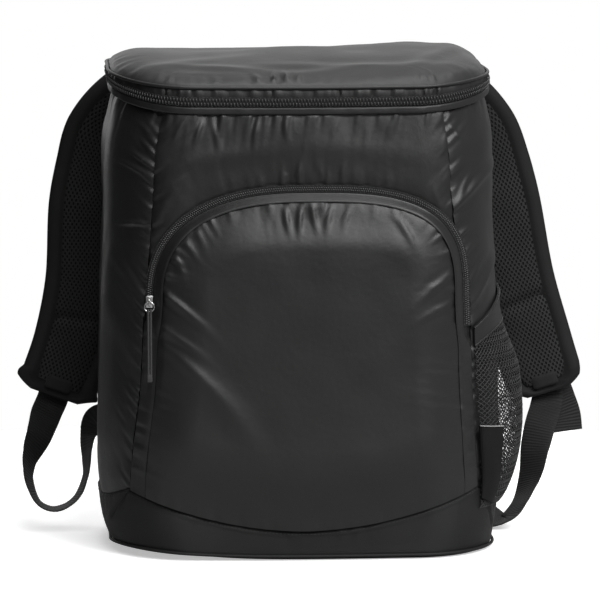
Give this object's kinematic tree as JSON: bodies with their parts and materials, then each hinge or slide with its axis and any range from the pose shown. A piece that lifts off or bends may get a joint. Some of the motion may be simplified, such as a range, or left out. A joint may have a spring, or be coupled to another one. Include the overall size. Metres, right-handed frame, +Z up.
{
  "type": "cooler backpack",
  "caption": "Soft insulated cooler backpack with a zipped lid, a zipped front pocket, a mesh side pocket and two padded shoulder straps.",
  "frame": {"origin": "centre of the flat underside of the base", "axes": "+Z up, +X to the right of someone looking at the front, front with the pocket towards -Y, straps towards +Y"},
  "size_m": [0.4363, 0.2205, 0.3718],
  "materials": {
    "nylon": "smooth black nylon with a soft sheen",
    "heavy_cloth": "heavier matt black weave",
    "zip_tape": "black woven tape",
    "zip_coil": "satin black coil",
    "net": "black open net",
    "label": "black woven ribbon",
    "webbing": "ribbed black webbing",
    "buckle_plastic": "matt black moulded plastic",
    "nickel": "polished nickel"
  },
  "bodies": {
    "root": {"front_panel": "nylon", "side_panel_left": "nylon", "side_panel_right": "nylon", "back_panel": "heavy_cloth", "base": "heavy_cloth", "base_piping": "heavy_cloth", "storm_strip": "nylon", "lid_zip_tape": "zip_tape", "lid_zip_coil": "zip_coil", "lid_band": "nylon", "lid_piping": "nylon", "lid_top": "nylon", "lid_hinge": "heavy_cloth", "pocket_panel": "nylon", "pocket_gusset": "nylon", "pocket_zip_tape": "zip_tape", "pocket_zip_coil": "zip_coil", "zip_slider": "nickel", "zip_ring": "nickel", "zip_pull": "webbing", "mesh_pocket": "net", "mesh_pocket_band": "nylon", "side_label": "label", "strap_shell_left": "heavy_cloth", "strap_mesh_left": "net", "strap_patch_left": "nylon", "strap_shell_right": "heavy_cloth", "strap_mesh_right": "net", "strap_patch_right": "nylon", "webbing_left": "webbing", "webbing_right": "webbing", "webbing_tail_right": "webbing", "adjuster_left": "buckle_plastic", "adjuster_right": "buckle_plastic"}
  },
  "joints": []
}
